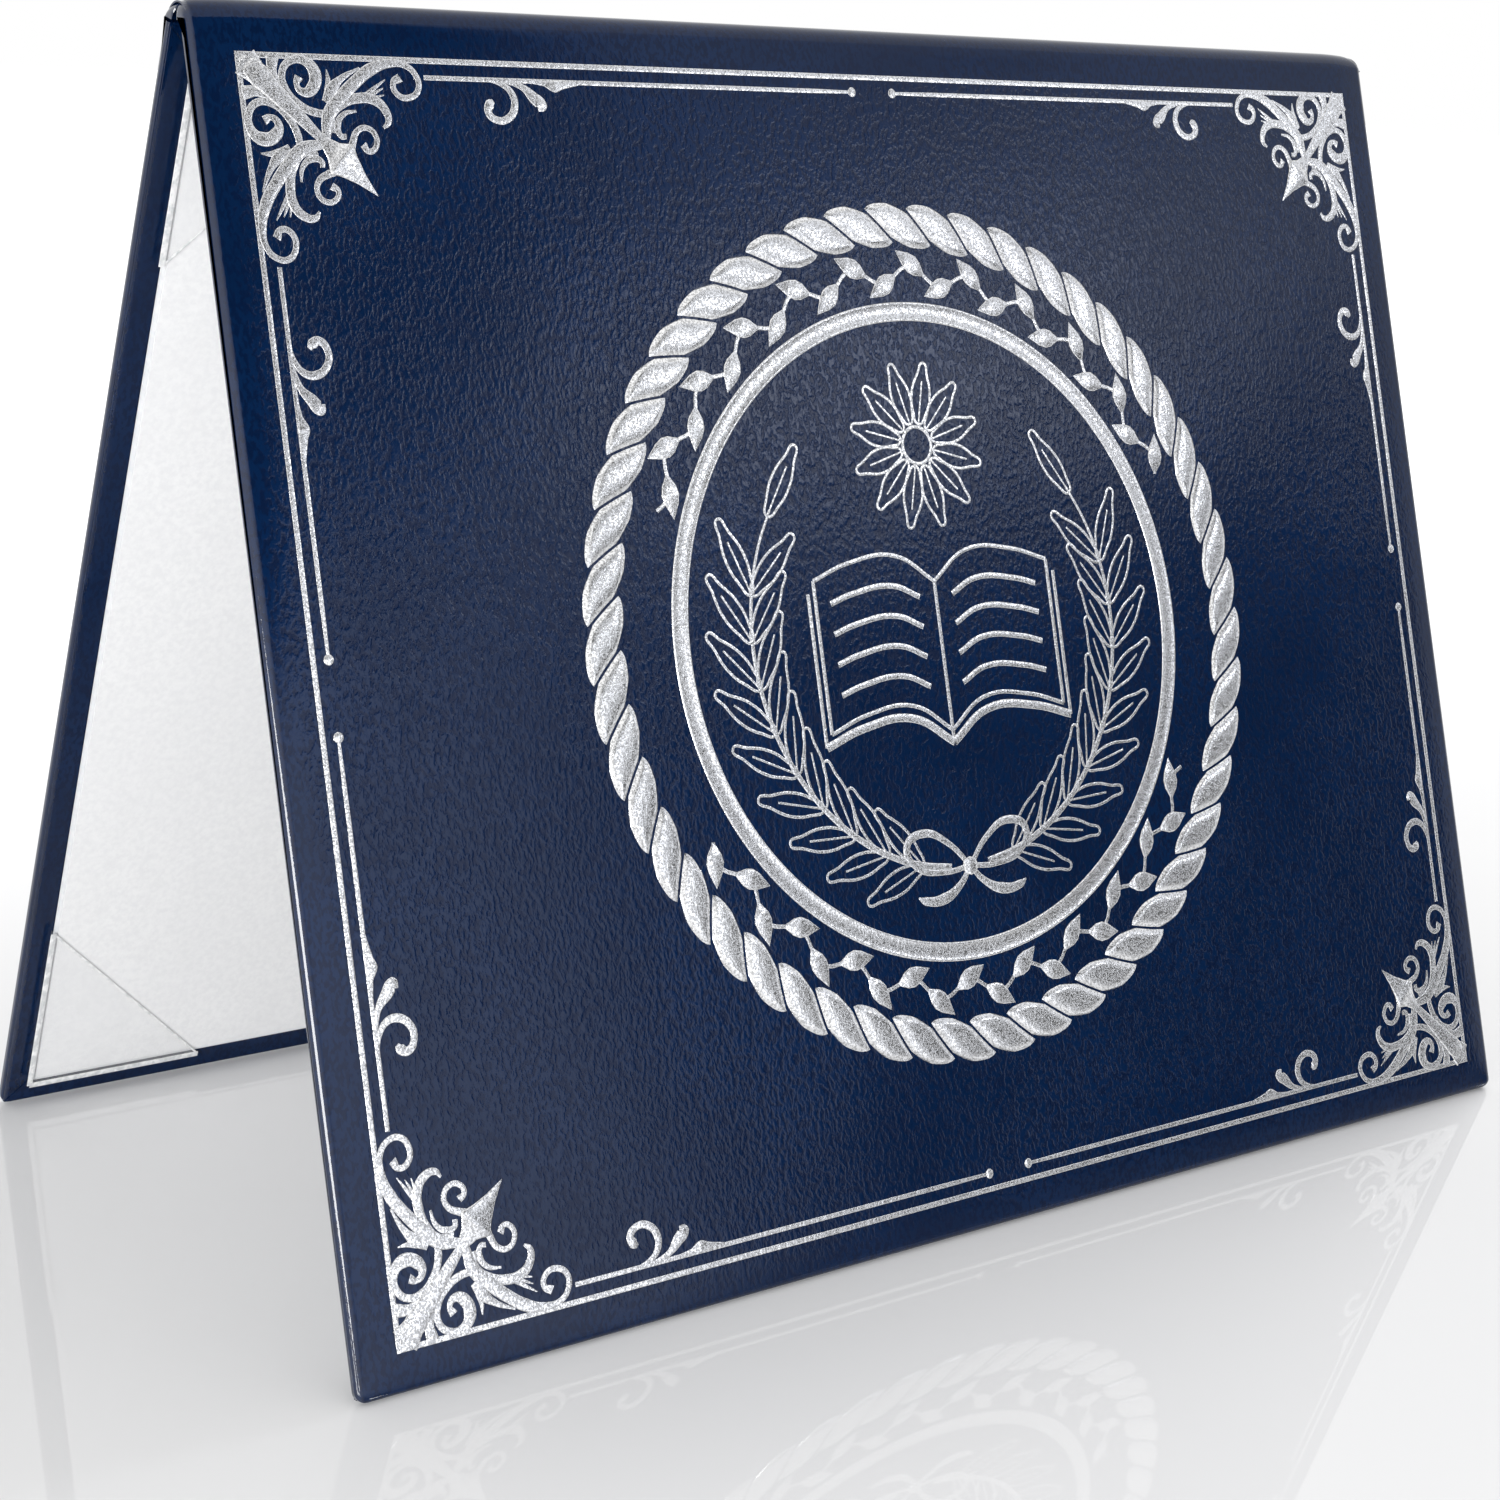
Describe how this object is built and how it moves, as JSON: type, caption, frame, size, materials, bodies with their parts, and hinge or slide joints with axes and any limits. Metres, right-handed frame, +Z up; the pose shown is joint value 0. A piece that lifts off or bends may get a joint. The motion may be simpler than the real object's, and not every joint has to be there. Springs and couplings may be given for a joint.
{
  "type": "diploma cover",
  "caption": "Landscape padded leatherette certificate cover, opened as a tent: two covers on a soft spine, white liners, clear film corners holding a sheet, silver foil ornament on the front",
  "frame": {"origin": "middle of the floor between the feet of the two covers", "axes": "X along the spine, the front cover faces -Y, Z up"},
  "size_m": [0.292, 0.1476, 0.222],
  "materials": {
    "navy_leatherette": "satin",
    "greyboard": "matte",
    "liner_paper": "satin",
    "sheet_paper": "matte",
    "clear_film": "glossy",
    "silver_foil": "polished"
  },
  "bodies": {
    "back_cover": {"back_wrap": "navy_leatherette", "back_board": "greyboard", "back_liner": "liner_paper", "blank_sheet": "sheet_paper", "film_corner_top_left": "clear_film", "film_corner_top_right": "clear_film", "film_corner_bottom_left": "clear_film", "film_corner_bottom_right": "clear_film"},
    "spine": {"spine_wrap": "navy_leatherette", "spine_lining": "navy_leatherette"},
    "front_cover": {"front_wrap": "navy_leatherette", "front_board": "greyboard", "front_liner": "liner_paper", "foil_frame": "silver_foil", "foil_line_top_left": "silver_foil", "foil_line_left_top": "silver_foil", "foil_line_top_right": "silver_foil", "foil_line_right_top": "silver_foil", "foil_line_bottom_left": "silver_foil", "foil_line_left_bottom": "silver_foil", "foil_line_bottom_right": "silver_foil", "foil_line_right_bottom": "silver_foil", "foil_rope": "silver_foil", "foil_band_top": "silver_foil", "foil_band_bottom": "silver_foil", "foil_ring": "silver_foil", "foil_wreath": "silver_foil", "foil_book": "silver_foil", "foil_rosette": "silver_foil", "foil_rule_left_1": "silver_foil", "foil_rule_right_1": "silver_foil", "foil_rule_left_2": "silver_foil", "foil_rule_right_2": "silver_foil", "foil_rule_left_3": "silver_foil", "foil_rule_right_3": "silver_foil", "foil_rule_left_4": "silver_foil", "foil_rule_right_4": "silver_foil"}
  },
  "joints": [
    {"name": "spine_fold", "type": "hinge", "parent": "back_cover", "child": "spine", "pos_m": [0, 0.0044, 0.21896], "axis": [1, 0, 0], "range_deg": [-72.3, 17.5]},
    {"name": "front_fold", "type": "hinge", "parent": "spine", "child": "front_cover", "pos_m": [0, -0.0044, 0.21896], "axis": [1, 0, 0], "range_deg": [-72.3, 17.5]}
  ],
  "couplings": [
    {"joint": "front_fold", "follows": "spine_fold", "ratio": 1}
  ]
}
